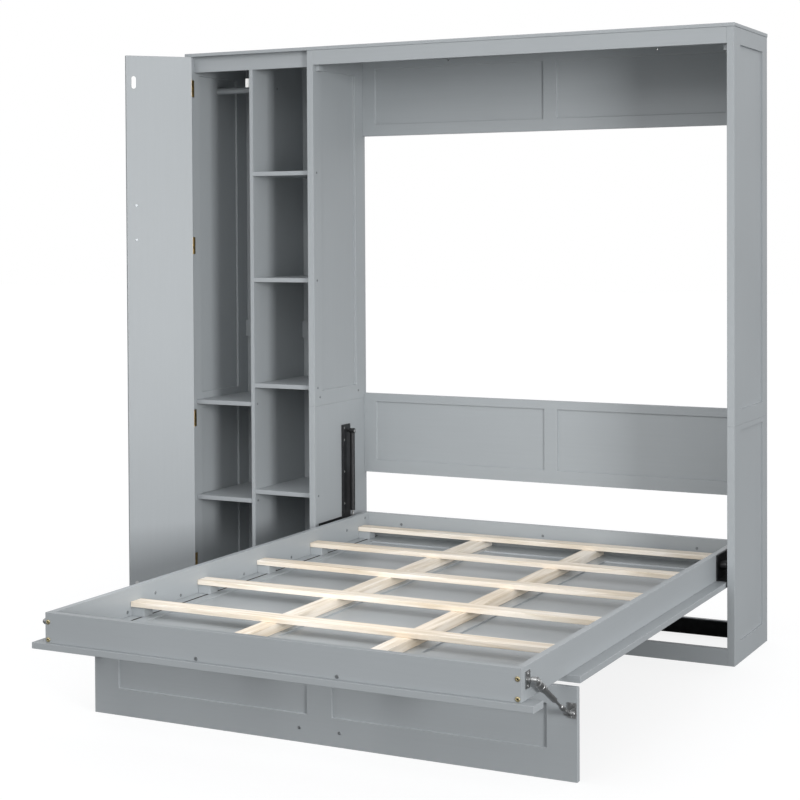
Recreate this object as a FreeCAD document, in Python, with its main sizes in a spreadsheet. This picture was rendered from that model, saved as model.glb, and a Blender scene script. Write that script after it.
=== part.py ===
import FreeCAD, Part
import os
import re
import Sketcher
from FreeCAD import Placement, Rotation, Vector

# Murphy wall bed with a side closet, millimetres, +Z up, the room is toward -Y.
# The origin is on the floor under the middle of the front base rail of the bed cabinet.
os.makedirs("parts", exist_ok=True)
doc = FreeCAD.newDocument("murphy_wall_bed")

SIZES = {
    # cabinet carcass
    "height": 2100, "cab_width": 1592, "closet_width": 528, "cab_depth": 405, "side_thick": 25,
    "top_thick": 12, "front_y": -9, "rail_thick": 18, "base_high": 55, "top_rail_low": 2034,
    "joint_high": 785, "recess_deep": 8, "front_stile": 73, "back_stile": 55, "recess_low": 70,
    "inner_front": 59, "inner_back": 80, "top_lip": 2,
    "back_base_high": 57, "stiff_thick": 4, "block_wide": 16, "block_deep": 30, "block_high": 21,
    # back panels behind the bed
    "back_thick": 18, "upper_back_low": 1790, "lower_back_low": 500, "lower_back_high": 303,
    "back_end_stile": 54, "back_mid_stile": 52, "back_recess": 6, "anchor_radius": 4,
    "anchor_spread": 812,
    # closet
    "setback": 20, "closet_rail_low": 2030, "divider_thick": 15, "door_bay": 244, "floor_thick": 16,
    "skin_thick": 10, "skin_recess": 4, "skin_joint": 1043, "batten_low": 1010, "batten_high": 65,
    "batten_thick": 12, "shelf_thick": 16, "hang_rod_radius": 12, "hang_rod_y": 200, "hang_rod_z": 1971,
    # bed frame
    "pivot_y": 64, "pivot_z": 318, "frame_half": 728, "bed_rail_thick": 20, "bed_rail_low": 272,
    "bed_rail_high": 86, "head_y": 320, "foot_y": -1636, "ledge_thick": 18, "ledge_half": 766,
    "ledge_inner": 672.5, "foot_lip_y": -1650, "foot_lip_wide": 64, "leg_gap_y": -1331,
    "face_half": 668.5, "face_recess": 5, "slat_wide": 55, "slat_thick": 16, "slat_first": 240,
    "slat_pitch": 366, "bearer_wide": 50, "bearer_high": 28, "bearer_left": -222, "bearer_right": 212,
    "slat_block": 46,
    # leg panel
    "leg_axis_y": -1333, "leg_axis_z": 250, "leg_thick": 17.5, "leg_high": 248, "leg_offset": 4,
    "leg_stile": 86, "leg_mid": 80, "leg_low_rail": 81, "leg_top_rail": 50, "leg_recess": 6.5,
    "pull_centres": 128, "pull_high": 41,
    # lift hardware
    "plate_thick": 4, "pin_radius": 7, "bush_radius": 15, "strut_y": 250, "strut_top": 672,
    "strut_low": 335, "strut_radius": 9, "strut_bore": 7.5, "strut_rod": 4, "strut_x": 749.5,
    "eye_wide": 17,
    # leg stays
    "stay_y": -1600, "stay_z": 323, "stay_far_y": -1383, "stay_far_z": 188, "stay_x": 749,
    "stay_radius": 8, "stay_rod": 4, "stay_eye": 14,
    # door
    "door_axis_x": -1297.5, "door_axis_y": -5, "door_open": 133.7, "door_wide": 249,
    "door_thick": 18, "door_low": 58, "door_top": 2085, "hinge_long": 64, "knuckle_radius": 3.5,
}

sheet = doc.addObject("Spreadsheet::Sheet", "sizes")
for row, (alias, value) in enumerate(SIZES.items(), start=1):
    sheet.set(f"A{row}", alias)
    sheet.set(f"B{row}", str(value))
    sheet.setAlias(f"B{row}", alias)
doc.recompute()


def sized(text):
    """An expression in which every size name points at its spreadsheet cell."""
    return re.sub(r"[a-z_]+", lambda m: "sizes." + m.group(0) if m.group(0) in SIZES else m.group(0),
                  str(text))


def behind(text):
    """A depth measured behind the cabinet's front plane."""
    return f"front_y + ({text})"


def bind(obj, **props):
    for prop, text in props.items():
        obj.setExpression(prop.replace("_at_", "Placement.Base."), sized(text))
    return obj


def box(label, x, y, z, long, deep, high):
    obj = doc.addObject("Part::Box", label)
    return bind(obj, Length=long, Width=deep, Height=high, _at_x=x, _at_y=behind(y), _at_z=z)


TURN = {"X": Rotation(Vector(0, 1, 0), 90), "Y": Rotation(Vector(1, 0, 0), -90), "Z": Rotation()}


def rod(label, axis, x, y, z, radius, length):
    """A round bar that starts at x, y, z and runs along + axis."""
    obj = doc.addObject("Part::Cylinder", label)
    turn = TURN[axis] if isinstance(axis, str) else axis
    obj.Placement = Placement(Vector(), turn)
    return bind(obj, Radius=radius, Height=length, _at_x=x, _at_y=behind(y), _at_z=z)


def joined(label, *shapes):
    obj = doc.addObject("Part::MultiFuse", label)
    obj.Shapes = list(shapes)
    obj.Refine = True
    return obj


def less(label, base, *tools):
    obj = doc.addObject("Part::Cut", label)
    obj.Base = base
    obj.Tool = tools[0] if len(tools) == 1 else joined(label + "_tools", *tools)
    return obj


def group(label, *shapes):
    obj = doc.addObject("Part::Compound", label)
    obj.Links = list(shapes)
    return obj


def rectangle(sketch, low_u, low_v, high_u, high_v):
    """A rectangle whose two corners are bound to the sheet."""
    first = sketch.GeometryCount
    spots = [Vector(1, 1, 0), Vector(9, 1, 0), Vector(9, 9, 0), Vector(1, 9, 0)]
    for i in range(4):
        sketch.addGeometry(Part.LineSegment(spots[i], spots[(i + 1) % 4]), False)
    for i in range(4):
        sketch.addConstraint(Sketcher.Constraint("Coincident", first + i, 2, first + (i + 1) % 4, 1))
    for i, kind in enumerate(("Horizontal", "Vertical", "Horizontal", "Vertical")):
        sketch.addConstraint(Sketcher.Constraint(kind, first + i))
    if str(low_u) == "0" and str(low_v) == "0":
        sketch.addConstraint(Sketcher.Constraint("Coincident", first, 1, -1, 1))
    else:
        for kind, text in (("DistanceX", low_u), ("DistanceY", low_v)):
            index = sketch.addConstraint(Sketcher.Constraint(kind, -1, 1, first, 1, 1.0))
            sketch.setExpression(f"Constraints[{index}]", sized(text))
    for kind, text in (("DistanceX", high_u), ("DistanceY", high_v)):
        index = sketch.addConstraint(Sketcher.Constraint(kind, -1, 1, first + 2, 1, 9.0))
        sketch.setExpression(f"Constraints[{index}]", sized(text))


PLANES = {"XY": 0, "XZ": 1, "YZ": 2}
checks = []


def panel(label, plane, wide, high, thick, x, y, z, cuts=(), deep="recess_deep", holes=()):
    """A routed board: a padded rectangle with square-edged recesses in its two faces.

    cuts are (face, low_u, low_v, high_u, high_v), face "near" or "far" along the thickness;
    holes are (u, v, radius) drilled right through.
    """
    body = doc.addObject("PartDesign::Body", label)
    flip = plane == "XZ"

    def sketch_on(name, lift=None):
        sketch = body.newObject("Sketcher::SketchObject", name)
        planes = [f for f in body.Origin.OriginFeatures if f.TypeId == "App::Plane"]
        sketch.AttachmentSupport = [(planes[PLANES[plane]], "")]
        sketch.MapMode = "FlatFace"
        if lift:
            sketch.setExpression("AttachmentOffset.Base.z", sized(f"-({lift})" if flip else lift))
        return sketch

    outline = sketch_on(label + "_outline")
    rectangle(outline, 0, 0, wide, high)
    pad = body.newObject("PartDesign::Pad", label + "_pad")
    pad.Profile = outline
    pad.Reversed = flip
    pad.setExpression("Length", sized(thick))
    doc.recompute()
    for face in ("near", "far"):
        marks = [c for c in cuts if c[0] == face]
        if not marks:
            continue
        sketch = sketch_on(f"{label}_{face}_recess", thick if face == "far" else None)
        for mark in marks:
            rectangle(sketch, *mark[1:5])
        pocket = body.newObject("PartDesign::Pocket", f"{label}_{face}_pocket")
        pocket.Profile = sketch
        pocket.Reversed = (face == "near") != flip
        pocket.setExpression("Length", sized(deep))
        doc.recompute()
        checks.append((pocket, label))
    if holes:
        sketch = sketch_on(f"{label}_drill")
        for u, v, radius in holes:
            index = sketch.addGeometry(Part.Circle(Vector(5, 5, 0), Vector(0, 0, 1), 1), False)
            for kind, text in (("DistanceX", u), ("DistanceY", v)):
                mark = sketch.addConstraint(Sketcher.Constraint(kind, -1, 1, index, 3, 5.0))
                sketch.setExpression(f"Constraints[{mark}]", sized(text))
            mark = sketch.addConstraint(Sketcher.Constraint("Radius", index, 1.0))
            sketch.setExpression(f"Constraints[{mark}]", sized(radius))
        drill = body.newObject("PartDesign::Pocket", f"{label}_drill_pocket")
        drill.Profile = sketch
        drill.Reversed = not flip
        drill.setExpression("Length", sized(thick))
        doc.recompute()
        checks.append((drill, label))
    bind(body, _at_x=x, _at_y=behind(y), _at_z=z)
    return body


def screw(label, axis, sign, x, y, z, radius, length, head=1.4):
    """A wood screw: a low head on the surface at x, y, z and a shank that goes in along the axis."""
    back = {"X": (1, 0), "Y": (0, 1)}[axis]
    start = head if sign > 0 else 0
    top = rod(label + "_head", axis, f"{x} - {start * back[0]}", f"{y} - {start * back[1]}", z,
              radius, head)
    start = 0 if sign > 0 else length
    shank = rod(label + "_shank", axis, f"{x} - {start * back[0]}", f"{y} - {start * back[1]}", z,
                radius * 0.5, length)
    return joined(label, top, shank)


# ---------------------------------------------------------------- bed cabinet carcass
inner = "cab_width / 2 - side_thick"
panel("right_side_lower", "YZ", "cab_depth", "joint_high", "side_thick", inner, "0", "0",
      cuts=[("far", "front_stile", "recess_low", "cab_depth - back_stile", "joint_high - 17")])
panel("right_side_upper", "YZ", "cab_depth", "height - top_thick - joint_high", "side_thick",
      inner, "0", "joint_high",
      cuts=[("far", "front_stile", "50", "cab_depth - back_stile", "height - top_thick - joint_high - 55"),
            ("near", "inner_front", "55", "cab_depth - inner_back",
             "height - top_thick - joint_high - 70")])
panel("partition_lower", "YZ", "cab_depth", "joint_high", "side_thick", "-cab_width / 2", "0", "0")
panel("partition_upper", "YZ", "cab_depth", "height - top_thick - joint_high", "side_thick",
      "-cab_width / 2", "0", "joint_high",
      cuts=[("far", "inner_front", "55", "cab_depth - inner_back",
             "height - top_thick - joint_high - 70")])
box("top_board", "-cab_width / 2 - closet_width - top_lip", "-top_lip", "height - top_thick",
    "cab_width + closet_width + 2 * top_lip", "cab_depth + top_lip", "top_thick")
span = f"2 * ({inner})"
box("top_rail", f"-({inner})", "0", "top_rail_low", span, "rail_thick", "height - top_thick - top_rail_low")
group("base_rails",
      box("front_base_rail", f"-({inner})", "0", "0", span, "rail_thick", "base_high"),
      box("back_base_rail", f"-({inner})", "cab_depth - back_thick", "0", span, "back_thick",
          "back_base_high"))
box("base_stiffener", f"-({inner}) + 4", "cab_depth - back_thick - stiff_thick", "2",
    f"{span} - 8", "stiff_thick", "back_base_high - 5")


def back_recesses(low, high):
    half = "cab_width / 2 - side_thick"
    return [("near", "back_end_stile", low, f"{half} - back_mid_stile / 2", high),
            ("near", f"{half} + back_mid_stile / 2", low, f"2 * ({half}) - back_end_stile", high)]


panel("upper_back_panel", "XZ", span, "height - top_thick - upper_back_low", "back_thick",
      f"-({inner})", "cab_depth - back_thick", "upper_back_low", cuts=back_recesses("44", "255"),
      deep="back_recess",
      holes=[(f"{inner} - anchor_spread / 2", "276", "anchor_radius"),
             (f"{inner} + anchor_spread / 2", "276", "anchor_radius")])
panel("lower_back_panel", "XZ", span, "lower_back_high", "back_thick",
      f"-({inner})", "cab_depth - back_thick", "lower_back_low", cuts=back_recesses("48", "272"),
      deep="back_recess")
group("stop_blocks", *[
    box(f"stop_block_{side}", x, "19", "top_rail_low - block_high", "block_wide", "block_deep", "block_high")
    for side, x in (("left", f"-({inner})"), ("right", f"{inner} - block_wide"))])

# ---------------------------------------------------------------- closet carcass
closet_left = "-cab_width / 2 - closet_width"
bay_left = f"{closet_left} + side_thick"
bay_span = "closet_width - side_thick"
divider_x = f"{bay_left} + door_bay"
shelf_deep = "cab_depth - skin_thick"
panel("closet_side", "YZ", "cab_depth", "height - top_thick", "side_thick", closet_left, "0", "0",
      cuts=[(face, "inner_front", low, "cab_depth - inner_back", high)
            for face in ("near", "far")
            for low, high in (("recess_low", "joint_high - 30"), ("joint_high + 30", "2020"))])
box("closet_top_rail", bay_left, "setback", "closet_rail_low", bay_span, "rail_thick",
    "height - top_thick - closet_rail_low")
box("closet_plinth", bay_left, "0", "0", bay_span, "rail_thick", "base_high")
box("closet_floor", bay_left, "setback", "base_high", bay_span, f"{shelf_deep} - setback", "floor_thick")
divider_board = box("divider_board", divider_x, "setback", "base_high + floor_thick", "divider_thick",
                    f"{shelf_deep} - setback", "height - top_thick - base_high - floor_thick")
less("divider", divider_board,
     box("divider_rail_notch", f"{divider_x} - 1", "setback - 1", "closet_rail_low",
         "divider_thick + 2", "rail_thick + 1", "100"),
     box("divider_batten_notch", f"{divider_x} - 1", f"{shelf_deep} - batten_thick", "batten_low",
         "divider_thick + 2", "batten_thick + 1", "batten_high"))
skin_cuts = [("near", "38", "{low}", "door_bay - 12", "{high}"),
             ("near", "door_bay + divider_thick + 30", "{low}", f"{bay_span} - 30", "{high}")]
for label, low, high in (("closet_back_lower", "0", "skin_joint"),
                         ("closet_back_upper", "skin_joint", "height - top_thick - skin_joint")):
    marks = [tuple(t.format(low=90 if low == "0" else 60, high=f"{high} - 60") for t in c)
             for c in skin_cuts]
    panel(label, "XZ", bay_span, high, "skin_thick", bay_left, shelf_deep, low, cuts=marks,
          deep="skin_recess")
box("closet_back_batten", bay_left, f"{shelf_deep} - batten_thick", "batten_low", bay_span,
    "batten_thick", "batten_high")
open_left = f"{divider_x} + divider_thick"
OPEN_SHELVES = (462, 860, 1255, 1650)
BAY_SHELVES = (426, 789)
group("open_shelves", *[
    box(f"open_shelf_{i}", open_left, "setback", f"{top} - shelf_thick",
        f"{bay_span} - door_bay - divider_thick", f"{shelf_deep} - setback", "shelf_thick")
    for i, top in enumerate(OPEN_SHELVES, start=1)])
group("door_bay_shelves", *[
    box(f"door_bay_shelf_{i}", bay_left, "setback + 2", f"{top} - shelf_thick", "door_bay",
        f"{shelf_deep} - setback - 2", "shelf_thick")
    for i, top in enumerate(BAY_SHELVES, start=1)])
rod("clothes_rod", "X", f"{bay_left} - recess_deep", "hang_rod_y", "hang_rod_z", "hang_rod_radius",
    "door_bay + recess_deep")
box("door_catch", f"{divider_x} - 19", "25", "1966", "19", "34", "33")

# wood screws whose heads show on the partition and on the divider
screws = []
for i, top in enumerate(OPEN_SHELVES, start=1):
    screws.append(screw(f"shelf_screw_{i}", "X", -1, f"-({inner})", "24", f"{top} - shelf_thick / 2",
                        4, 44))
for i, depth in enumerate((40, 340), start=1):
    screws.append(screw(f"joint_screw_{i}", "X", -1, f"-({inner})", depth, "joint_high + 32", 4, 20))
for i, top in enumerate(BAY_SHELVES, start=1):
    screws.append(screw(f"bay_screw_{i}", "X", -1, open_left, "40", f"{top} - shelf_thick / 2", 4, 34))
screws.append(screw("hang_rod_screw", "X", -1, open_left, "hang_rod_y", "hang_rod_z", 4, 34))
group("cabinet_screws", *screws)

# ---------------------------------------------------------------- bed frame
frame_span = "2 * frame_half"
side_long = "head_y - foot_y - 2 * bed_rail_thick"
box("foot_rail", "-frame_half", "foot_y", "bed_rail_low", frame_span, "bed_rail_thick", "bed_rail_high")
box("head_rail", "-frame_half", "head_y - bed_rail_thick", "bed_rail_low", frame_span,
    "bed_rail_thick", "bed_rail_high")
box("left_rail", "-frame_half", "foot_y + bed_rail_thick", "bed_rail_low", "bed_rail_thick",
    side_long, "bed_rail_high")
box("right_rail", "frame_half - bed_rail_thick", "foot_y + bed_rail_thick", "bed_rail_low",
    "bed_rail_thick", side_long, "bed_rail_high")
face_low = "bed_rail_low - ledge_thick"
ledge_wide = "ledge_half - ledge_inner"
group("side_ledges", *[
    box(f"{side}_ledge", x, "leg_gap_y", face_low, ledge_wide, "head_y - leg_gap_y", "ledge_thick")
    for side, x in (("left", "-ledge_half"), ("right", "ledge_inner"))])
box("foot_ledge", "-ledge_half", "foot_lip_y", face_low, "2 * ledge_half", "foot_lip_wide", "ledge_thick")
columns = (("35", "391"), ("491", "847"), ("947", "2 * face_half - 35"))
panel("face_panel", "XY", "2 * face_half", "head_y - leg_gap_y", "ledge_thick",
      "-face_half", "leg_gap_y", face_low,
      cuts=[(face, low, "56", high, "head_y - leg_gap_y - 130")
            for face in ("near", "far") for low, high in columns],
      deep="face_recess")
group("bearers", *[
    box(f"{side}_bearer", f"bearer_{side} - bearer_wide / 2", "foot_y + bed_rail_thick",
        "bed_rail_low", "bearer_wide", side_long, "bearer_high")
    for side in ("left", "right")])
# a block under each end of each slat, glued to the side rail
group("slat_blocks", *[
    box(f"slat_block_{side}_{i + 1}", x, f"slat_first - {i} * slat_pitch - slat_wide / 2 + 5",
        "bed_rail_low", "slat_block", "slat_wide - 10", "bearer_high")
    for i in range(5)
    for side, x in (("left", "-frame_half + bed_rail_thick"),
                    ("right", "frame_half - bed_rail_thick - slat_block"))])
group("slats", *[
    box(f"slat_{i + 1}", "-frame_half + bed_rail_thick + 0.5",
        f"slat_first - {i} * slat_pitch - slat_wide / 2", "bed_rail_low + bearer_high",
        "2 * (frame_half - bed_rail_thick) - 1", "slat_wide", "slat_thick")
    for i in range(5)])

# corner bolts with domed heads, two at every corner
bolts = []
for end, face, sign in (("foot", "foot_y", 1), ("head", "head_y", -1)):
    for side in (-1, 1):
        for level, z in enumerate((281, 331)):
            name = f"corner_bolt_{end}_{side + 1}_{level}"
            x = f"{side} * (frame_half - bed_rail_thick / 2)"
            start = f"{face} - {4 if sign > 0 else 0}"
            head = rod(name + "_head", "Y", x, start, z, 6.5, 4)
            start = face if sign > 0 else f"{face} - 60"
            shank = rod(name + "_shank", "Y", x, start, z, 3, 60)
            drive = rod(name + "_drive", "Y", x, f"{face} - {5 if sign > 0 else -2}", z, 2.5, 3)
            bolts.append(less(name, joined(name + "_solid", head, shank), drive))
group("corner_bolts", *bolts)

# screws whose heads show on the rails: depth and height of those in each side rail
SIDE_SCREWS = ((-1267, 286), (-1119, 318), (-981, 284), (-601, 284), (-286, 286), (125, 316), (270, 341))
rail_screws = []
for name, side in (("left", -1), ("right", 1)):
    rail_screws.append(screw(f"bearer_screw_foot_{name}", "Y", 1, f"bearer_{name}",
                             "foot_y", 280, 5, 55, 2))
    rail_screws.append(screw(f"bearer_screw_head_{name}", "Y", -1, f"bearer_{name}",
                             "head_y", 280, 5, 55, 2))
    for i, (y, z) in enumerate(SIDE_SCREWS):
        rail_screws.append(screw(f"side_rail_screw_{side + 1}_{i}", "X", side,
                                 f"{side} * (frame_half - bed_rail_thick)", y, z, 4, 16))
for i, x in enumerate((-569, 3, 577)):
    rail_screws.append(screw(f"head_rail_screw_{i}", "Y", 1, x, "head_y - bed_rail_thick", 322, 4, 16))
group("rail_screws", *rail_screws)

# ---------------------------------------------------------------- lift hardware, both sides
for side, sign in (("left", -1), ("right", 1)):
    def plate(name, y, z, deep, high, near="cab_width / 2 - side_thick - plate_thick", thick="plate_thick"):
        x = near if sign > 0 else f"-({near}) - ({thick})"
        return box(f"{side}_{name}", x, y, z, thick, deep, high)

    def cross(name, y, z, radius, near, far):
        """A round part that runs outward between two distances from the bed's middle."""
        start = near if sign > 0 else f"-({far})"
        return rod(f"{side}_{name}", "X", start, y, z, radius, f"({far}) - ({near})")

    # cabinet bracket: an L-shaped plate on the side, its pivot pin and the strut's upper stud
    face_x = "cab_width / 2 - side_thick - plate_thick"
    solid = joined(f"{side}_lift_bracket_solid",
                   plate("bracket_foot", "24", "285", "226", "68"),
                   plate("bracket_post", "202", "285", "64", "413"),
                   plate("bracket_rib", "202", "365", "3", "333", f"{face_x} - 6", "7"),
                   cross("pivot_pin", "pivot_y", "pivot_z", "pin_radius", "frame_half + 6", face_x),
                   cross("pivot_collar", "pivot_y", "pivot_z", "13", f"{face_x} - 6", face_x),
                   cross("upper_stud", "strut_y", "strut_top", "4", "strut_x - eye_wide / 2", face_x))
    less(f"{side}_lift_bracket", solid,
         *[cross(f"bracket_hole_{i}", y, z, "2.5", f"{face_x} - 12", f"{face_x} + 12")
           for i, (y, z) in enumerate(((217, 685), (217, 640), (217, 520), (217, 400), (120, 345),
                                       (225, 305)))])
    # bed bracket: a plate on the rail with a bush round the pivot pin and the strut's lower stud
    solid = joined(f"{side}_bed_bracket_solid",
                   plate("arm_plate", "20", "bed_rail_low", "260", "84", "frame_half"),
                   plate("arm_flange", "20", "bed_rail_low", "260", "3", "frame_half", "34"),
                   cross("bush", "pivot_y", "pivot_z", "bush_radius", "frame_half", "frame_half + 25"),
                   cross("lower_stud", "strut_y", "strut_low", "5", "frame_half",
                         "strut_x - eye_wide / 2 - 1"))
    less(f"{side}_bed_bracket", solid,
         cross("bush_bore", "pivot_y", "pivot_z", "pin_radius + 0.1", "frame_half + 5", "frame_half + 40"),
         *[cross(f"arm_hole_{i}", y, z, "3", "frame_half - 1", "frame_half + 9")
           for i, (y, z) in enumerate(((120, 340), (190, 340), (120, 296), (190, 296)))])
    # gas strut: the tube hangs from the upper stud, the rod comes out of its lower end
    eye_near, eye_far = "strut_x - eye_wide / 2", "strut_x + eye_wide / 2"
    middle = "strut_x" if sign > 0 else "-strut_x"
    less(f"{side}_strut_tube",
         joined(f"{side}_tube_solid",
                rod(f"{side}_tube_wall", "Z", middle, "strut_y", "strut_low + 37", "strut_radius",
                    "strut_top - strut_low - 43"),
                cross("tube_eye", "strut_y", "strut_top", "10", eye_near, eye_far)),
         rod(f"{side}_tube_bore", "Z", middle, "strut_y", "strut_low + 42", "strut_bore",
             "strut_top - strut_low - 64"),
         rod(f"{side}_tube_gland", "Z", middle, "strut_y", "strut_low + 30", "strut_rod + 0.3", "20"),
         cross("tube_eye_bore", "strut_y", "strut_top", "4.1", "strut_x - 20", "strut_x + 20"))
    joined(f"{side}_strut_rod",
           rod(f"{side}_rod_bar", "Z", middle, "strut_y", "strut_low", "strut_rod", "305"),
           rod(f"{side}_rod_piston", "Z", middle, "strut_y", "strut_low + 300", "strut_bore - 0.3", "10"),
           rod(f"{side}_rod_neck", "Z", middle, "strut_y", "strut_low", "6", "24"),
           cross("rod_eye", "strut_y", "strut_low", "9", eye_near, eye_far))

    # leg stay: a short damped strut from the rail to the leg panel
    turn = Rotation(Vector(0, 0, 1), Vector(0, SIZES["stay_far_y"] - SIZES["stay_y"],
                                            SIZES["stay_far_z"] - SIZES["stay_z"]))
    reach = "sqrt((stay_far_y - stay_y)^2 + (stay_far_z - stay_z)^2)"
    stay_mid = "stay_x" if sign > 0 else "-stay_x"

    def along(name, start, length, radius):
        """A round part on the line of the stay, from a distance along it."""
        return rod(f"{side}_{name}", turn, stay_mid,
                   f"stay_y + (stay_far_y - stay_y) * ({start}) / {reach}",
                   f"stay_z + (stay_far_z - stay_z) * ({start}) / {reach}", radius, length)

    eye_near, eye_far = "stay_x - stay_eye / 2", "stay_x + stay_eye / 2"
    less(f"{side}_stay_tube",
         joined(f"{side}_stay_solid", along("stay_wall", "0", "150", "stay_radius"),
                along("stay_collar", "22", "22", "stay_radius + 1.5"),
                cross("stay_eye_round", "stay_y", "stay_z", "9", eye_near, eye_far)),
         along("stay_bore", "18", "126", "stay_rod + 2.5"),
         along("stay_gland", "140", "20", "stay_rod + 0.3"))
    less(f"{side}_stay_rod",
         joined(f"{side}_stay_rod_solid",
                along("stay_bar", "75", f"{reach} - 75", "stay_rod"),
                along("stay_piston", "75", "8", "stay_rod + 2.2"),
                along("stay_nut", f"{reach} - 26", "14", "6.5"),
                cross("stay_far_eye", "stay_far_y", "stay_far_z", "8", eye_near, eye_far)),
         cross("far_eye_bore", "stay_far_y", "stay_far_z", "3.6", "stay_x - 20", "stay_x + 20"))
    # its bracket on the rail: the stud stops just short of the upper eye
    joined(f"{side}_stay_rail_lug",
           plate("rail_lug_plate", "stay_y - 14", "stay_z - 22", "28", "44", "frame_half", "3"),
           cross("rail_lug_stud", "stay_y", "stay_z", "6", "frame_half", "stay_x - stay_radius - 2"))
    # its bracket on the leg, outboard of the lower eye, with the stud that the eye turns on
    joined(f"{side}_stay_leg_lug",
           plate("leg_lug_plate", "leg_axis_y - leg_offset - leg_thick - 3", "stay_far_z - 20", "3",
                 "40", "stay_x - 9", "24"),
           plate("leg_lug_ear", "stay_far_y", "stay_far_z - 8",
                 "leg_axis_y - leg_offset - leg_thick - stay_far_y", "16",
                 "stay_x + stay_eye / 2 + 2", "6"),
           cross("leg_lug_nose", "stay_far_y", "stay_far_z", "8", "stay_x + stay_eye / 2 + 2",
                 "stay_x + stay_eye / 2 + 8"),
           cross("leg_lug_stud", "stay_far_y", "stay_far_z", "3.5", eye_near,
                 "stay_x + stay_eye / 2 + 3"))
for name in ("stay_tube", "stay_rod"):
    group(name + "s", doc.getObject("left_" + name), doc.getObject("right_" + name))
group("stay_rail_brackets", doc.getObject("left_stay_rail_lug"), doc.getObject("right_stay_rail_lug"))
group("stay_leg_brackets", doc.getObject("left_stay_leg_lug"), doc.getObject("right_stay_leg_lug"))

# ---------------------------------------------------------------- leg panel
leg_front = "leg_axis_y - leg_offset - leg_thick"
leg_span = "2 * ledge_half"
panel("leg_panel", "XZ", leg_span, "leg_high", "leg_thick", "-ledge_half", leg_front, "0",
      cuts=[(face, low, "leg_low_rail", high, "leg_high - leg_top_rail")
            for face in ("near", "far")
            for low, high in (("leg_stile", "ledge_half - leg_mid / 2"),
                              ("ledge_half + leg_mid / 2", f"{leg_span} - leg_stile"))],
      deep="leg_recess")


def pull(label, axis, x, y, z, out):
    """A bar pull on two posts, standing off along +Y or -Y."""
    half = "pull_centres / 2"
    steps = ((f"-{half}", 0), (half, 0)) if axis == "X" else ((0, f"-{half}"), (0, half))
    posts = [rod(f"{label}_post_{i}", "Y", f"{x} + {dx}", y if out > 0 else f"{y} - 26",
                 f"{z} + {dz}", 4, 26)
             for i, (dx, dz) in enumerate(steps)]
    start = (f"{x} - 80", z) if axis == "X" else (x, f"{z} - 80")
    bar = rod(f"{label}_bar", axis, start[0], f"{y} + {26 * out}", start[1], 5.5, 160)
    return joined(label, bar, *posts)


pull("leg_pull", "X", "0", "leg_axis_y - leg_offset", "pull_high", 1)
group("leg_pull_screws", *[
    screw(f"leg_pull_screw_{i}", "Y", 1, x, leg_front, "pull_high", 4.5, 16)
    for i, x in enumerate(("-pull_centres / 2", "pull_centres / 2"))])

# three butt hinges between the face panel and the leg
HINGE_X = (-560, 0, 560)
fixed, moving = [], []
for i, x in enumerate(HINGE_X):
    low = f"{x} - hinge_long / 2"
    parts = [box(f"leg_leaf_fixed_{i}", low, "leg_gap_y - 1.2", "leg_axis_z + 4", "hinge_long", "1.2", "15")]
    for k, (start, length) in enumerate(((0, 21), (43, 21))):
        parts.append(rod(f"leg_knuckle_fixed_{i}_{k}", "X", f"{low} + {start}", "leg_axis_y",
                         "leg_axis_z", "knuckle_radius", length))
        parts.append(box(f"leg_web_fixed_{i}_{k}", f"{low} + {start}", "leg_gap_y - 1.2", "leg_axis_z",
                         length, "1.2", "4"))
    parts.append(rod(f"leg_pin_{i}", "X", low, "leg_axis_y", "leg_axis_z", 1.5, "hinge_long"))
    fixed.append(joined(f"leg_hinge_fixed_{i}", *parts))
    knuckle = joined(f"leg_hinge_turning_{i}",
                     box(f"leg_leaf_turning_{i}", low, f"{leg_front} + 1", "leg_high", "hinge_long",
                         "leg_thick - 1", "1.2"),
                     box(f"leg_web_turning_{i}", f"{low} + 21.4", "leg_axis_y - 5", "leg_high",
                         "21.2", "5", "1.2"),
                     rod(f"leg_knuckle_turning_{i}", "X", f"{low} + 21.4", "leg_axis_y", "leg_axis_z",
                         "knuckle_radius", "21.2"))
    moving.append(less(f"leg_hinge_moving_{i}", knuckle,
                       rod(f"leg_knuckle_bore_{i}", "X", low, "leg_axis_y", "leg_axis_z", 1.6,
                           "hinge_long")))
group("leg_hinge_leaves_bed", *fixed)
group("leg_hinge_leaves_leg", *moving)

# ---------------------------------------------------------------- closet door, built closed then swung open
door_parts = {}
door_front = "door_axis_y + 5"
door_high = "door_top - door_low"
door_parts["door_panel"] = panel(
    "door_board", "XZ", "door_wide", door_high, "door_thick", "door_axis_x + 1.5", door_front, "door_low",
    cuts=[("near", "62", low, "door_wide - 62", high)
          for low, high in (("72", "joint_high - 90"), ("joint_high - 20", f"{door_high} - 62"))])
free_edge = "door_axis_x + 1.5 + door_wide"
door_parts["door_pull"] = pull("door_pull_bar", "Z", f"{free_edge} - 35", door_front, 1463, -1)
strike_x = f"{free_edge} - 28"
strike_y = f"{door_front} + door_thick"
strike = joined("strike_solid",
                box("strike_plate", f"{strike_x} - 8", strike_y, "1970", "16", "2.5", "30"),
                rod("strike_low_end", "Y", strike_x, strike_y, "1970", 8, 2.5),
                rod("strike_high_end", "Y", strike_x, strike_y, "2000", 8, 2.5))
door_parts["door_strike"] = strike
door_parts["door_bumper"] = joined(
    "bumper_solid", rod("bumper_base", "Y", f"{free_edge} - 26", strike_y, "114", 7, 1.2),
    rod("bumper_pad", "Y", f"{free_edge} - 26", strike_y, "114", 5, 2))
door_parts["door_pull_screws"] = group("door_pull_screw_pair", *[
    screw(f"door_pull_screw_{i}", "Y", -1, f"{free_edge} - 35", strike_y, z, 4.5, 16)
    for i, z in enumerate((1399, 1527))])
HINGE_Z = (174, 720, 1375, 1969)
fixed, moving = [], []
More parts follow.
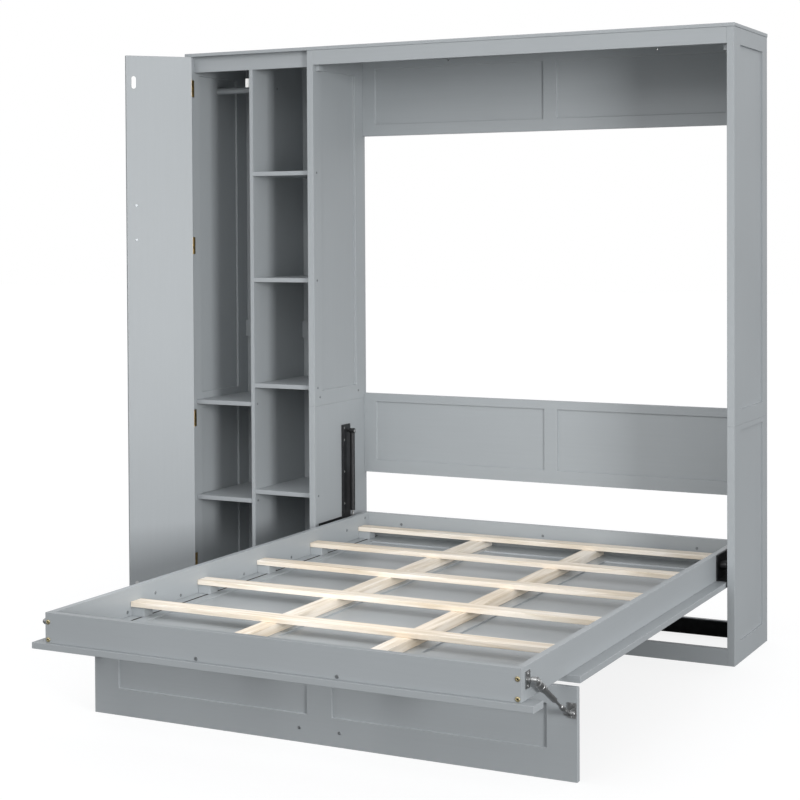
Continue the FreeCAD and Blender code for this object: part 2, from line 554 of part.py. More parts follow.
for i, z in enumerate(HINGE_Z):
    low = f"{z} - hinge_long / 2"
    parts = [box(f"door_leaf_fixed_{i}", bay_left, "door_axis_y + 4", low, "1", "21", "hinge_long"),
             rod(f"door_pin_{i}", "Z", "door_axis_x", "door_axis_y", low, 1.5, "hinge_long")]
    for k, (start, length) in enumerate(((0, 21), (43, 21))):
        parts.append(rod(f"door_knuckle_fixed_{i}_{k}", "Z", "door_axis_x", "door_axis_y",
                         f"{low} + {start}", "knuckle_radius", length))
        parts.append(box(f"door_web_fixed_{i}_{k}", bay_left, "door_axis_y", f"{low} + {start}",
                         "1", "4", length))
    fixed.append(joined(f"door_hinge_fixed_{i}", *parts))
    knuckle = joined(f"door_hinge_turning_{i}",
                     box(f"door_leaf_turning_{i}", "door_axis_x + 0.5", "door_axis_y + 4", low, "1",
                         "18", "hinge_long"),
                     box(f"door_web_turning_{i}", "door_axis_x + 0.5", "door_axis_y",
                         f"{low} + 21.4", "1", "4", "21.2"),
                     rod(f"door_knuckle_turning_{i}", "Z", "door_axis_x", "door_axis_y",
                         f"{low} + 21.4", "knuckle_radius", "21.2"))
    moving.append(less(f"door_hinge_moving_{i}", knuckle,
                       rod(f"door_knuckle_bore_{i}", "Z", "door_axis_x", "door_axis_y", low, 1.6,
                           "hinge_long")))
group("door_hinge_leaves_cabinet", *fixed)
door_parts["door_hinge_leaves_door"] = group("door_hinge_leaves_closed", *moving)

doc.recompute()
hinge = Vector(SIZES["door_axis_x"], SIZES["front_y"] + SIZES["door_axis_y"], 0)
for label, closed in door_parts.items():
    # a compound of one link carries the swing of the whole door as its own placement
    swung = doc.addObject("Part::Compound", label)
    swung.Links = [closed]
    swing = Rotation(Vector(0, 0, 1), -SIZES["door_open"])
    swung.Placement = Placement(hinge - swing.multVec(hinge), swing)

NODES = """right_side_lower right_side_upper partition_lower partition_upper closet_side top_board
top_rail base_rails base_stiffener upper_back_panel lower_back_panel stop_blocks
closet_top_rail closet_plinth closet_floor divider closet_back_lower closet_back_upper
closet_back_batten open_shelves door_bay_shelves clothes_rod door_catch
cabinet_screws left_lift_bracket right_lift_bracket door_hinge_leaves_cabinet
left_rail right_rail head_rail foot_rail side_ledges foot_ledge face_panel bearers slat_blocks slats
corner_bolts rail_screws left_bed_bracket right_bed_bracket leg_hinge_leaves_bed stay_rail_brackets
leg_panel leg_pull leg_pull_screws leg_hinge_leaves_leg stay_leg_brackets
door_panel door_pull door_pull_screws door_strike door_bumper door_hinge_leaves_door
left_strut_tube right_strut_tube left_strut_rod right_strut_rod stay_tubes stay_rods""".split()

doc.recompute()
for obj in doc.Objects:
    bad = [word for word in ("Invalid", "Error") if word in obj.State]
    assert not bad, f"{obj.Name}: {obj.State}"
for pocket, label in checks:
    base = pocket.BaseFeature.Shape.Volume
    assert pocket.Shape.Volume < base - 10, f"{label}: {pocket.Name} removed nothing"
total = 0.0
for name in NODES:
    obj = doc.getObject(name)
    assert obj is not None, name
    shape = obj.Shape
    assert not shape.isNull() and shape.isValid(), name
    assert len(shape.Solids) >= 1, name
    total += shape.Volume
    shape.exportStep(f"parts/{name}.step")
print(len(NODES), "nodes,", round(total / 1e9, 4), "cubic metres")
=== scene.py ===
import math

import bpy
import numpy as np
from mathutils import Matrix, Vector


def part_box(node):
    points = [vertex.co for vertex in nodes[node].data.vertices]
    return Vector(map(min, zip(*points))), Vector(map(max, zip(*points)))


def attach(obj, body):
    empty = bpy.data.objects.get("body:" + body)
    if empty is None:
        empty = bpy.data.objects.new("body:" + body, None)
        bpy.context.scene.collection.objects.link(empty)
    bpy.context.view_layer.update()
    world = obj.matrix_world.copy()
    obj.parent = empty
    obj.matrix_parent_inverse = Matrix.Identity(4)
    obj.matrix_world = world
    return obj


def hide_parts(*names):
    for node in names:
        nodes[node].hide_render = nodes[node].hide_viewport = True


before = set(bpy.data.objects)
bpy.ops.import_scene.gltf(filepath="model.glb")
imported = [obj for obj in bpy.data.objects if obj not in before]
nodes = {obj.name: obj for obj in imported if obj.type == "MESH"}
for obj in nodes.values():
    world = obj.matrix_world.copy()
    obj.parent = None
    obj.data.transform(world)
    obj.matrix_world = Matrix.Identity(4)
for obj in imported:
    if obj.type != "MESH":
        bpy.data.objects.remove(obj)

scene = bpy.context.scene
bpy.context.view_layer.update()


# ---- The camera ---------------------------------------------------------------------------
# Set up at eye height from the right of the bed, some five and a half metres from the cabinet,
# with a short telephoto lens whose frame is shifted down so that upright edges stay upright.
YAW, PITCH, ROLL = (math.radians(angle) for angle in (27.11, -1.25, -0.30))
forward = Vector((-math.sin(YAW) * math.cos(PITCH), math.cos(YAW) * math.cos(PITCH), math.sin(PITCH)))
level = Vector((math.cos(YAW), math.sin(YAW), 0))
upward = level.cross(forward)
right = math.cos(ROLL) * level + math.sin(ROLL) * upward
upward = math.cos(ROLL) * upward - math.sin(ROLL) * level

lens = bpy.data.cameras.new("room_camera")
lens.lens = 79.44
lens.sensor_width = 36
lens.shift_x, lens.shift_y = 0.0193, -0.1694
camera = bpy.data.objects.new("room_camera", lens)
camera.matrix_world = Matrix.Translation((2.3976, -5.6319, 1.4457)) @ Matrix(
    (right, upward, -forward)).transposed().to_4x4()
scene.collection.objects.link(camera)
scene.camera = camera


# ---- The studio ---------------------------------------------------------------------------
# A white floor that runs out of view and a white surround. A key light stands far off to the right,
# a softer one in front and above, and a weak one over the bed fills the cabinet. The room itself
# glows, most of all a little above the horizon.
def linear(code):
    """An sRGB hex colour as linear red, green, blue and 1."""
    part = np.array([int(code[i:i + 2], 16) for i in (1, 3, 5)]) / 255
    return (*np.where(part <= 0.04045, part / 12.92, ((part + 0.055) / 1.055) ** 2.4).tolist(), 1.0)


def add(tree, kind, links=(), stops=(), **settings):
    """One node with its settings and a ramp's (position, colour) stops, whose inputs are linked
    as (socket, (node, socket)) pairs."""
    made = tree.nodes.new(kind)
    for spot, _ in stops[1:-1]:
        made.color_ramp.elements.new(spot)
    for k, (spot, colour) in enumerate(stops):
        made.color_ramp.elements[k].position = spot
        made.color_ramp.elements[k].color = (*colour[:3], 1)
    for key, value in settings.items():
        if key.startswith("in_"):
            name = key[3:]
            spot = made.inputs[int(name)] if name.isdigit() else made.inputs[name.replace("_", " ")]
            spot.default_value = value
        else:
            setattr(made, key, value)
    for socket, (source, output) in links:
        tree.links.new(source.outputs[output], made.inputs[socket])
    return made


def blank(name):
    """A new node material and its empty tree."""
    made = bpy.data.materials.new(name)
    made.use_nodes = True
    made.node_tree.nodes.clear()
    return made, made.node_tree


def surface(tree, shader):
    add(tree, "ShaderNodeOutputMaterial", [("Surface", (shader, 0))])


floor_paint, tree = blank("white_floor_paint")
painted = add(tree, "ShaderNodeBsdfPrincipled", in_Base_Color=linear("#6A6B6C"), in_Roughness=0.8)
lift = add(tree, "ShaderNodeEmission", in_Color=linear("#FFFFFF"), in_Strength=0.84)
lifted = add(tree, "ShaderNodeAddShader", [(0, (painted, 0)), (1, (lift, 0))])
path = add(tree, "ShaderNodeLightPath")
surface(tree, add(tree, "ShaderNodeMixShader",
                  [(0, (path, "Is Camera Ray")), (1, (painted, 0)), (2, (lifted, 0))]))
ground = bpy.data.meshes.new("studio_floor")
ground.from_pydata([(-30, -30, 0), (30, -30, 0), (30, 30, 0), (-30, 30, 0)], [], [(0, 1, 2, 3)])
ground.materials.append(floor_paint)
studio_floor = bpy.data.objects.new("studio_floor", ground)
scene.collection.objects.link(studio_floor)

surround = bpy.data.worlds.new("studio_surround")
surround.use_nodes = True
sky = surround.node_tree
sky.nodes.clear()
toward = add(sky, "ShaderNodeTexCoord")
height = add(sky, "ShaderNodeSeparateXYZ", [(0, (toward, "Generated"))])
glows = ((0.0, 0.34), (0.10, 0.50), (0.26, 0.98), (0.60, 0.86), (1.0, 0.55))
glow = add(sky, "ShaderNodeValToRGB", [("Fac", (height, 2))],
           [(spot, (much, much, much * 1.01)) for spot, much in glows])
room = add(sky, "ShaderNodeBackground", [("Color", (glow, 0))], in_Strength=1.0)
paper = add(sky, "ShaderNodeBackground", in_Color=linear("#FFFFFF"), in_Strength=1.0)
path = add(sky, "ShaderNodeLightPath")
seen = add(sky, "ShaderNodeMixShader", [(0, (path, "Is Camera Ray")), (1, (room, 0)), (2, (paper, 0))])
add(sky, "ShaderNodeOutputWorld", [("Surface", (seen, 0))])
scene.world = surround
scene.view_settings.view_transform = "Standard"


def soft_panel(name, toward, far, wide, watts):
    """A square light in one direction, facing the space above the bed."""
    glow = bpy.data.lights.new(name, "AREA")
    glow.shape = "SQUARE"
    glow.size, glow.energy = wide, watts
    lamp = bpy.data.objects.new(name, glow)
    place = Vector(toward).normalized() * far
    lamp.matrix_world = Matrix.LocRotScale(place + Vector((-0.2, -0.5, 0.9)),
                                           (-place).to_track_quat("-Z", "Y"), None)
    lamp.visible_camera = False
    scene.collection.objects.link(lamp)


soft_panel("key_panel", (0.85, -0.51, 0.10), 12, 2.6, 780)
soft_panel("front_panel", (-0.10, -0.80, 0.60), 7, 3.5, 100)
soft_panel("fill_panel", (0.0, -1.0, 0.15), 1.0, 1.0, 6.5)


# ---- The painted boards -------------------------------------------------------------------
# Solid boards and fibreboard, sprayed with grey furniture lacquer: a satin film with a fine
# orange peel, a little uneven in tone, and edges rubbed round with fine paper.
MM = 0.001


def eased(node, width):
    """Welds a CAD node's loose triangles for shading and rounds its sharp edges."""
    weld = node.modifiers.new("weld", "WELD")
    weld.merge_threshold = 1e-5
    ease = node.modifiers.new("eased_edges", "BEVEL")
    ease.width = width
    ease.segments = 2
    ease.limit_method = "ANGLE"
    ease.angle_limit = math.radians(35)
    ease.harden_normals = True
    # a few flat triangles come marked as smooth: each corner takes its largest face's normal
    flat = node.modifiers.new("flat_faces", "WEIGHTED_NORMAL")
    flat.mode = "FACE_AREA"
    flat.weight = 100


def dress(node, material):
    """The CAD node's one material."""
    node.data.materials.clear()
    node.data.materials.append(material)


def lacquer(name, tone, streak_axis, roughness, gap=None):
    """Satin lacquer over board: faint sanding streaks run along one axis, the peel is all over; given a
    gap, a dark line of painted shade runs along it.
    """
    made, tree = blank(name)
    where = add(tree, "ShaderNodeTexCoord")
    streak = [40.0, 40.0, 40.0]
    streak["XYZ".index(streak_axis)] = 1.2
    drawn = add(tree, "ShaderNodeMapping", [("Vector", (where, "Object"))], in_Scale=streak)
    sanding = add(tree, "ShaderNodeTexNoise", [("Vector", (drawn, 0))], in_Scale=4.0, in_Detail=4.0)
    cloud = add(tree, "ShaderNodeTexNoise", [("Vector", (where, "Object"))], in_Scale=2.5, in_Detail=2.0)
    blend = add(tree, "ShaderNodeMix", [(2, (cloud, 0)), (3, (sanding, 0))], in_0=0.35)
    base = np.array(linear(tone)[:3])
    ramp = add(tree, "ShaderNodeValToRGB", [("Fac", (blend, 0))],
               [(0.3, base * 0.97), (0.7, base * 1.03)])
    colour = (ramp, 0)
    if gap:
        # painted shade: the walls of the gap beside the face panel, and the edges just beside it, are
        # painted dark so that the shadowed gap reads as a dark line
        across = add(tree, "ShaderNodeSeparateXYZ", [(0, (where, "Object"))])
        far = add(tree, "ShaderNodeMath", [(0, (across, 0))], operation="ABSOLUTE")
        gap_shade_mask = add(tree, "ShaderNodeMath", [(0, (far, 0))], operation="COMPARE", in_1=gap, in_2=4.2 * MM)
        gap_shaded_colour = add(tree, "ShaderNodeMix", [(0, (gap_shade_mask, 0)), (6, (ramp, 0))],
                    data_type="RGBA", in_7=linear("#26221F"))
        colour = (gap_shaded_colour, 2)
    # real orange peel has a pitch of about 1.5 mm; drawn at 3 mm so that it shows
    peel = add(tree, "ShaderNodeTexNoise", [("Vector", (where, "Object"))],
               in_Scale=1 / (3 * MM), in_Detail=1.0)
    swell = add(tree, "ShaderNodeTexNoise", [("Vector", (where, "Object"))],
                in_Scale=1 / (45 * MM), in_Detail=1.0)
    peel_bump = add(tree, "ShaderNodeBump", [("Height", (peel, 0))],
                    in_Strength=0.10, in_Distance=0.15 * MM)
    bump = add(tree, "ShaderNodeBump", [("Height", (swell, 0)), ("Normal", (peel_bump, 0))],
               in_Strength=0.12, in_Distance=1.0 * MM)
    dull = add(tree, "ShaderNodeMapRange", [("Value", (cloud, 0))],
               in_To_Min=roughness - 0.03, in_To_Max=roughness + 0.03)
    surface(tree, add(tree, "ShaderNodeBsdfPrincipled",
                      [("Base Color", colour), ("Normal", (bump, 0)), ("Roughness", (dull, 0))],
                      in_IOR=1.5))
    return made


GREY = "#A0A5A8"
upright_paint = lacquer("grey_lacquer_upright", GREY, "Z", 0.50)
level_paint = lacquer("grey_lacquer_level", GREY, "X", 0.46)
# the depth paint carries a line of painted shade along the gap beside the face panel, 0.6705 m either
# side of the middle
depth_paint = lacquer("grey_lacquer_depth", GREY, "Y", 0.34, gap=0.6705)

UPRIGHT = ("right_side_lower", "right_side_upper", "partition_lower", "partition_upper",
           "closet_side", "divider", "closet_back_lower", "closet_back_upper", "door_panel")
LEVEL = ("top_board", "top_rail", "base_rails", "slat_blocks", "upper_back_panel",
         "lower_back_panel", "stop_blocks", "closet_top_rail", "closet_plinth", "closet_floor",
         "closet_back_batten", "open_shelves", "door_bay_shelves", "head_rail", "foot_rail",
         "foot_ledge", "leg_panel")
DEPTH = ("left_rail", "right_rail", "side_ledges", "face_panel")
for names, paint in ((UPRIGHT, upright_paint), (LEVEL, level_paint), (DEPTH, depth_paint)):
    for name in names:
        dress(nodes[name], paint)
        eased(nodes[name], 1.1 * MM)


# ---- The slats and bearers ----------------------------------------------------------------
# Planed softwood, left bare: pale cream with soft brown growth lines along each board,
# darker at the odd knot, and slightly furry edges.
def softwood(name, along):
    """Growth lines as stretched rings: a wave across the board, bent by slow noise along it."""
    made, tree = blank(name)
    where = add(tree, "ShaderNodeTexCoord")
    stretch = [1.0, 1.0, 1.0]
    stretch["XYZ".index(along)] = 0.06
    grain_space = add(tree, "ShaderNodeMapping", [("Vector", (where, "Object"))], in_Scale=stretch)
    # early and late wood repeat about every 9 mm on a flat sawn face
    rings = add(tree, "ShaderNodeTexNoise", [("Vector", (grain_space, 0))],
                in_Scale=1 / (16 * MM), in_Detail=3.0, in_Distortion=0.6)
    fibre = add(tree, "ShaderNodeTexNoise", [("Vector", (grain_space, 0))],
                in_Scale=1 / (1.6 * MM), in_Detail=2.0)
    patch = add(tree, "ShaderNodeTexNoise", [("Vector", (where, "Object"))], in_Scale=3.1, in_Detail=1.0)
    ring_tone = add(tree, "ShaderNodeValToRGB", [("Fac", (rings, 0))],
                    [(0.36, linear("#DACFBE")), (0.62, linear("#F1EAE0"))])
    patch_tone = add(tree, "ShaderNodeValToRGB", [("Fac", (patch, 0))],
                     [(0.35, linear("#FFFFFF")), (0.7, linear("#F5EEE4"))])
    tinted = add(tree, "ShaderNodeMix", [(6, (ring_tone, 0)), (7, (patch_tone, 0))],
                 data_type="RGBA", blend_type="MULTIPLY", in_0=0.8)
    bump = add(tree, "ShaderNodeBump", [("Height", (fibre, 0))], in_Strength=0.25, in_Distance=0.3 * MM)
    surface(tree, add(tree, "ShaderNodeBsdfPrincipled",
                      [("Base Color", (tinted, 2)), ("Normal", (bump, 0))],
                      in_Roughness=0.62, in_IOR=1.5))
    return made


dress(nodes["slats"], softwood("bare_pine_across", "X"))
dress(nodes["bearers"], softwood("bare_pine_lengthwise", "Y"))
for name in ("slats", "bearers"):
    eased(nodes[name], 1.6 * MM)


# ---- The black ironwork -------------------------------------------------------------------
# Pressed steel plates, strut tubes and bar pulls in black powder coat: a fine pebbled skin
# that is a little glossy, grey where it is rubbed.
def powder_coat(name, tone, roughness):
    made, tree = blank(name)
    where = add(tree, "ShaderNodeTexCoord")
    pebble = add(tree, "ShaderNodeTexNoise", [("Vector", (where, "Object"))],
                 in_Scale=1 / (0.9 * MM), in_Detail=2.0)
    rub = add(tree, "ShaderNodeTexNoise", [("Vector", (where, "Object"))], in_Scale=38.0, in_Detail=3.0)
    base = np.array(linear(tone)[:3])
    worn = add(tree, "ShaderNodeValToRGB", [("Fac", (rub, 0))],
               [(0.45, base), (0.75, base * 1.8 + 0.004)])
    bump = add(tree, "ShaderNodeBump", [("Height", (pebble, 0))], in_Strength=0.2, in_Distance=0.2 * MM)
    surface(tree, add(tree, "ShaderNodeBsdfPrincipled",
                      [("Base Color", (worn, 0)), ("Normal", (bump, 0))],
                      in_Roughness=roughness, in_IOR=1.5))
    return made


black_coat = powder_coat("black_powder_coat", "#17181A", 0.38)
for name in ("base_stiffener", "left_lift_bracket", "right_lift_bracket", "left_bed_bracket",
             "right_bed_bracket", "leg_pull", "door_pull", "left_strut_tube", "right_strut_tube"):
    dress(nodes[name], black_coat)
    eased(nodes[name], 0.5 * MM)


# ---- The bright metal ---------------------------------------------------------------------
# Zinc plated steel on rods, stays and screws, brass plate on the hinges and corner bolts:
# drawn or pressed surfaces with fine lines, slightly clouded by handling.
def plated(name, tone, roughness):
    made, tree = blank(name)
    where = add(tree, "ShaderNodeTexCoord")
    cloud = add(tree, "ShaderNodeTexNoise", [("Vector", (where, "Object"))],
                in_Scale=60.0, in_Detail=3.0)
    dull = add(tree, "ShaderNodeMapRange", [("Value", (cloud, 0))],
               in_To_Min=roughness - 0.02, in_To_Max=roughness + 0.12)
    base = np.array(linear(tone)[:3])
    tint = add(tree, "ShaderNodeValToRGB", [("Fac", (cloud, 0))], [(0.3, base * 0.82), (0.7, base)])
    surface(tree, add(tree, "ShaderNodeBsdfPrincipled",
                      [("Base Color", (tint, 0)), ("Roughness", (dull, 0))], in_Metallic=1.0))
    return made


zinc = plated("zinc_plate", "#B9BABA", 0.30)
dark_zinc = plated("dark_zinc_plate", "#8E9294", 0.40)
brass = plated("brass_plate", "#C8A86E", 0.30)
bolt_brass = plated("aged_brass_plate", "#C4B68E", 0.30)
for name, finish in (("left_strut_rod", zinc), ("right_strut_rod", zinc), ("stay_rods", zinc),
                     ("stay_tubes", zinc), ("stay_rail_brackets", zinc),
                     ("stay_leg_brackets", zinc)):
    dress(nodes[name], finish)
    eased(nodes[name], 0.5 * MM)
for name in ("door_hinge_leaves_cabinet", "door_hinge_leaves_door", "leg_hinge_leaves_bed",
             "leg_hinge_leaves_leg"):
    dress(nodes[name], brass)
    eased(nodes[name], 0.3 * MM)
dress(nodes["clothes_rod"], upright_paint)
eased(nodes["clothes_rod"], 0.5 * MM)


# ---- The screws and bolts -----------------------------------------------------------------
# Countersunk and domed heads with a cross recess, pressed from steel: grey on the boards,
# brass coloured domes with a hexagon socket at the corners of the bed frame.
def solids(name):
    """The lowest and highest corners of each separate solid in a CAD node."""
    mesh = nodes[name].data
    points = np.empty(len(mesh.vertices) * 3)
    mesh.vertices.foreach_get("co", points)
    points = points.reshape(-1, 3)
    edges = np.empty(len(mesh.edges) * 2, int)
    mesh.edges.foreach_get("vertices", edges)
    edges = edges.reshape(-1, 2)
    same = np.unique(np.round(points, 6), axis=0, return_inverse=True)[1].reshape(-1)
    ends = same[edges]
    label = np.arange(same.max() + 1)
    while True:
        low = np.minimum(label[ends[:, 0]], label[ends[:, 1]])
        before = label.copy()
        np.minimum.at(label, ends[:, 0], low)
        np.minimum.at(label, ends[:, 1], low)
        if np.array_equal(before, label):
            break
    owner = label[same]
    return [(points[owner == k].min(0), points[owner == k].max(0)) for k in np.unique(owner)]


def grid_mesh(points, across):
    """Vertices and quads of a grid whose rows hold a closed ring of points."""
    rows = len(points) // across
    i, j = np.meshgrid(np.arange(rows - 1), np.arange(across), indexing="ij")
    nxt = (j + 1) % across
    near, far = i * across, (i + 1) * across
    quads = np.stack([near + j, near + nxt, far + nxt, far + j], -1)
    return points, quads.reshape(-1, 4)


def basis(out):
    """Two directions square to out, and out itself."""
    out = np.array(out, float)
    side = np.cross(out, (0, 0, 1) if abs(out[2]) < 0.9 else (1, 0, 0))
    side /= np.linalg.norm(side)
    return np.stack([side, np.cross(out, side), out])


def piece(name, shells, material, body):
    """One object from several (points, faces) shells, dressed and riding on its body."""
    points, faces, start = [], [], 0
    for shell_points, shell_faces in shells:
        points.append(shell_points)
        faces += (shell_faces + start).tolist()
        start += len(shell_points)
    mesh = bpy.data.meshes.new(name)
    mesh.from_pydata(np.concatenate(points).tolist(), [], faces)
    mesh.materials.append(material)
    mesh.polygons.foreach_set("use_smooth", np.full(len(mesh.polygons), True))
    made = bpy.data.objects.new(name, mesh)
    made.modifiers.new("closed_poles", "WELD").merge_threshold = 1e-6
    scene.collection.objects.link(made)
    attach(made, body)
    return made


def screw_head(place, out, radius, high, recess, turn=0.4):
    """Height over a disc: a dome of 1 - r squared, less a pit where either arm of the cross is."""
    rings, around = 11, 40
    r = np.linspace(0, 1, rings)[::-1, None]
    angle = np.linspace(0, 2 * math.pi, around, endpoint=False)[None, :]
    u, v = r * np.cos(angle), r * np.sin(angle)
    near = np.minimum(abs(u * math.cos(turn) + v * math.sin(turn)),
                      abs(v * math.cos(turn) - u * math.sin(turn)))
    pit = np.clip((0.16 - near) / 0.05, 0, 1) * np.clip((0.62 - r) / 0.1, 0, 1)
    height = high * np.sqrt(np.clip(1 - 0.75 * r ** 2, 0, 1)) - recess * pit
    height[0] = -0.5 * MM
    spots = np.stack([radius * u, radius * v, height + 0 * u], -1).reshape(-1, 3)
    return grid_mesh(spots @ basis(out) + np.array(place), around)


def hexagon(angle):
    """A hexagon's radius at each angle, for flats one from the middle: one over the cosine of the
    angle from the nearest flat."""
    return 1 / np.cos(np.mod(angle + math.pi / 6, math.pi / 3) - math.pi / 6)


def hex_nut(place, out, across, high, bore):
    """Hexagonal rings climb the wall to a round chamfer; round rings cross the face to the stud's
    end, which stands a little proud."""
    angle = np.linspace(0, 2 * math.pi, 36, endpoint=False)[None, :]
    wall = across / 2 * hexagon(angle)
    cone = np.minimum(wall, across * 0.53)
    disc = np.ones_like(angle)
    r = np.concatenate([wall, wall, cone, disc * across * 0.47, disc * bore, disc * bore * 0.96,
                        disc * bore * 0.75, disc * 0])
    z = np.array([-0.5 * MM, high - 1.0 * MM, high - 0.5 * MM, high, high, high + 1.0 * MM,
                  high + 1.5 * MM, high + 1.6 * MM])[:, None]
    spots = np.stack([r * np.cos(angle), r * np.sin(angle), z + 0 * r], -1).reshape(-1, 3)
    return grid_mesh(spots @ basis(out) + np.array(place), 36)


def button_head(place, out, radius, high, flats):
    """A dome whose height is the square root of 1 minus 0.8 r squared, cut by a hexagonal socket
    whose flats stand that far from its middle."""
    angle = np.linspace(0, 2 * math.pi, 36, endpoint=False)[None, :]
    wall = flats / radius * hexagon(angle)
    disc = np.ones_like(angle)
    r = np.concatenate([disc, disc, disc * 0.92, disc * 0.8, wall * 1.12, wall, wall, 0 * disc])
    dome = high * np.sqrt(np.clip(1 - 0.8 * r ** 2, 0, 1))
    dome[0] = -0.5 * MM
    dome[-3:] = np.array([dome[5].min(), dome[5].min() - 2.6 * MM, dome[5].min() - 2.6 * MM])[:, None]
    spots = np.stack([radius * r * np.cos(angle), radius * r * np.sin(angle), dome], -1)
    return grid_mesh(spots.reshape(-1, 3) @ basis(out) + np.array(place), 36)


def turned(start, end, profile):
    """A surface of revolution round the line from start to end: rings at each (distance, radius)."""
    along = (np.array(end) - start) / np.linalg.norm(np.array(end) - start)
    angle = np.linspace(0, 2 * math.pi, 32, endpoint=False)[None, :]
    far, radius = (np.array(column)[:, None] for column in zip(*profile))
    spots = np.stack([radius * np.cos(angle), radius * np.sin(angle), far + 0 * angle], -1)
    return grid_mesh(spots.reshape(-1, 3) @ basis(along) + np.array(start), 32)


def head_places(name, pick):
    """Where each screw's head sits and which way it faces."""
    found = []
    for low, high in solids(name):
        middle = (low + high) / 2
        axis, sign = pick(low, high, middle)
        out = np.zeros(3)
        out[axis] = sign
        middle[axis] = high[axis] if sign > 0 else low[axis]
        found.append((middle - out * 1.4 * MM, out))
    return found


def on_rail(low, high, middle):
    if high[0] - low[0] > high[1] - low[1]:
        return 0, -np.sign(middle[0])
    return 1, 1 if high[1] > 0.311 else -1


screw_sets = (
    ("cabinet_screws", "cabinet", lambda low, high, middle: (0, 1), 4.6, 1.2),
    ("rail_screws", "bed", on_rail, 5.2, 1.4),
    ("leg_pull_screws", "leg", lambda low, high, middle: (1, -1), 4.8, 1.6),
)
for name, body, pick, radius, high in screw_sets:
    heads = [screw_head(place, out, radius * MM, high * MM, 1.0 * MM, turn=0.4 + 0.9 * k)
             for k, (place, out) in enumerate(head_places(name, pick))]
    shown = piece(name + "_heads", heads, dark_zinc, body)
    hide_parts(name)
# metres from the middle to the lift bracket's inner face, the strut's eye, the plate on the rail,
# the stay's line, and the outer faces of its two eyes; then (y, z) of the strut's and stay's eyes
BRACKET_FACE, STRUT_EYE, RAIL_PLATE = 0.767, 0.741, 0.731
STAY_LINE, UPPER_EYE, LOWER_EYE = 0.749, 0.756, 0.764
STRUT_TOP, STAY_TOP, STAY_FOOT = (0.241, 0.672), (-1.609, 0.323), (-1.392, 0.188)
# (distance, radius) along the stay in metres: the ferrule on its rod, the ringed collar on its tube
FERRULE = ((0.201, 0), (0.201, 0.0044), (0.203, 0.0062), (0.212, 0.0066), (0.214, 0.0074),
           (0.226, 0.0074), (0.228, 0.0058), (0.243, 0.0058), (0.243, 0))
COLLAR = ((0.046, 0.0072), (0.046, 0.0098), (0.048, 0.0104), (0.052, 0.0104), (0.054, 0.0092),
          (0.060, 0.0092), (0.062, 0.0104), (0.066, 0.0104), (0.068, 0.0098), (0.068, 0.0072),
          (0.046, 0.0072))
for side, sign in (("left", -1), ("right", 1)):
    inward, outward = (-sign, 0, 0), (sign, 0, 0)
    bracket_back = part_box(side + "_lift_bracket")[1][1]
    bracket_screws = [(bracket_back - 49 * MM, z) for z in (0.685, 0.640, 0.520, 0.400)]
    bracket_screws += [(0.111, 0.335), (0.216, 0.305)]
    top, foot = ((sign * STAY_LINE, *end) for end in (STAY_TOP, STAY_FOOT))
    fittings = (
        ("_lift_bracket_screws", "cabinet",
         [screw_head((sign * BRACKET_FACE, *place), inward, 4.6 * MM, 2.0 * MM, 1.0 * MM, turn=0.3 + k)
          for k, place in enumerate(bracket_screws)]),
        ("_strut_eye_nuts", "cabinet",
         [hex_nut((sign * STRUT_EYE, *STRUT_TOP), inward, 11 * MM, 4.5 * MM, 3 * MM)]),
        ("_stay_rail_screws", "bed",
         [screw_head((sign * RAIL_PLATE, STAY_TOP[0], z), outward, 4.4 * MM, 2.2 * MM, 1.0 * MM, turn=z)
          for z in (0.307, 0.339)]),
        ("_stay_ferrule", "stay_rod_pair", [turned(top, foot, FERRULE)]),
        ("_stay_collar_rings", "stay_tube_pair", [turned(top, foot, COLLAR)]),
        ("_stay_upper_nut", "stay_tube_pair",
         [hex_nut((sign * UPPER_EYE, *STAY_TOP), outward, 12 * MM, 5 * MM, 3.2 * MM)]),
        ("_stay_lower_nut", "leg",
         [hex_nut((sign * LOWER_EYE, *STAY_FOOT), outward, 12 * MM, 5 * MM, 3.2 * MM),
          *[screw_head((sign * 0.751, -1.3665, z), (0, -1, 0), 3.4 * MM, 1.6 * MM, 0.8 * MM)
            for z in (0.172, 0.204)]]),
    )
    for name, body, shells in fittings:
        piece(side + name, shells, zinc, body)
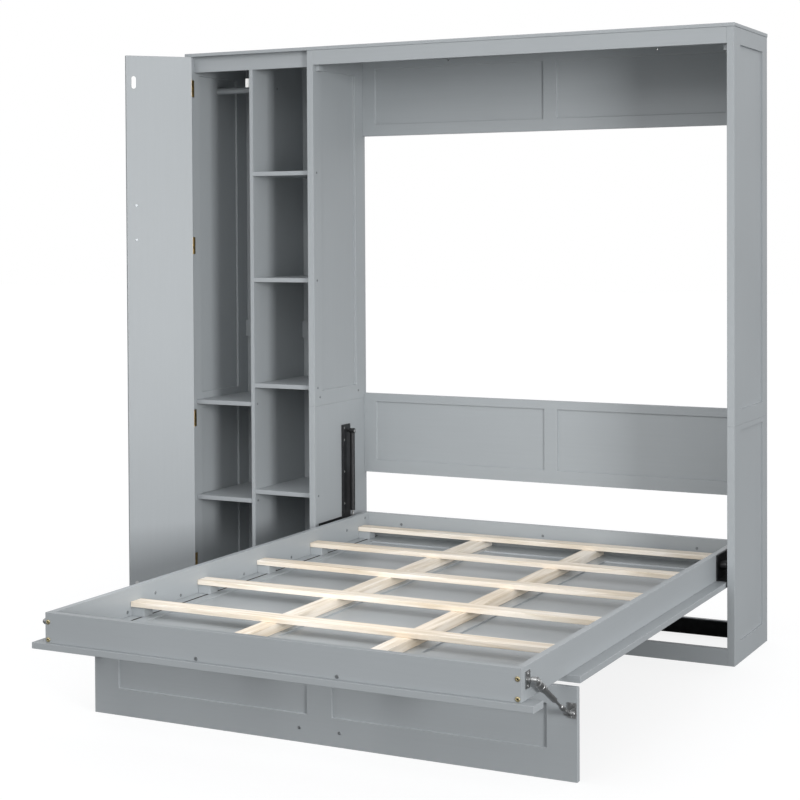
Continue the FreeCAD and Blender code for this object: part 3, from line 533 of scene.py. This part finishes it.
hinge_heads = [screw_head((-1.2981, 0.003, (low[2] + high[2]) / 2 + step), (1, 0, 0),
                          2.8 * MM, 0.9 * MM, 0.7 * MM)
               for low, high in solids("door_hinge_leaves_cabinet") for step in (-22 * MM, 0, 22 * MM)]
piece("door_hinge_screws", hinge_heads, brass, "cabinet")
dress(nodes["door_pull_screws"], dark_zinc)
eased(nodes["door_pull_screws"], 0.3 * MM)
bolt_heads, bolt_socket_shades = [], []
for low, high in solids("corner_bolts"):
    out = np.array((0, -1 if high[1] < 0 else 1, 0))
    place = (low + high) / 2
    place[1] = (low if out[1] < 0 else high)[1] - 4 * MM * out[1]
    bolt_heads.append(button_head(place, out, 6.5 * MM, 4 * MM, 2.9 * MM))
    # painted shade: a thin dark disc on the socket's floor stands in for the shadow deep in the socket
    floor = place + 0.9 * MM * out
    disc = [(0, 0), (0, 2.8 * MM), (0.4 * MM, 2.8 * MM), (0.4 * MM, 0)]
    bolt_socket_shades.append(turned(floor, floor + out, disc))
shown = piece("corner_bolt_heads", bolt_heads, bolt_brass, "bed")
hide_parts("corner_bolts")
piece("corner_bolt_socket_shades", bolt_socket_shades, black_coat, "bed")


# ---- The catch, strike and bumper ---------------------------------------------------------
# Injection moulded white plastic with a soft sheen, and a clear soft stick-on bumper.
def moulded(name, tone, roughness):
    made, tree = blank(name)
    where = add(tree, "ShaderNodeTexCoord")
    grain = add(tree, "ShaderNodeTexNoise", [("Vector", (where, "Object"))],
                in_Scale=1 / (0.8 * MM), in_Detail=2.0)
    bump = add(tree, "ShaderNodeBump", [("Height", (grain, 0))], in_Strength=0.15, in_Distance=0.1 * MM)
    surface(tree, add(tree, "ShaderNodeBsdfPrincipled", [("Normal", (bump, 0))],
                      in_Base_Color=linear(tone), in_Roughness=roughness, in_IOR=1.46))
    return made


white_plastic = moulded("white_moulded_plastic", "#EDEDEB", 0.35)
for name in ("door_catch", "door_strike"):
    dress(nodes[name], white_plastic)
    eased(nodes[name], 0.8 * MM)
dress(nodes["door_bumper"], moulded("clear_bumper", "#C9CBCB", 0.25))
eased(nodes["door_bumper"], 0.6 * MM)
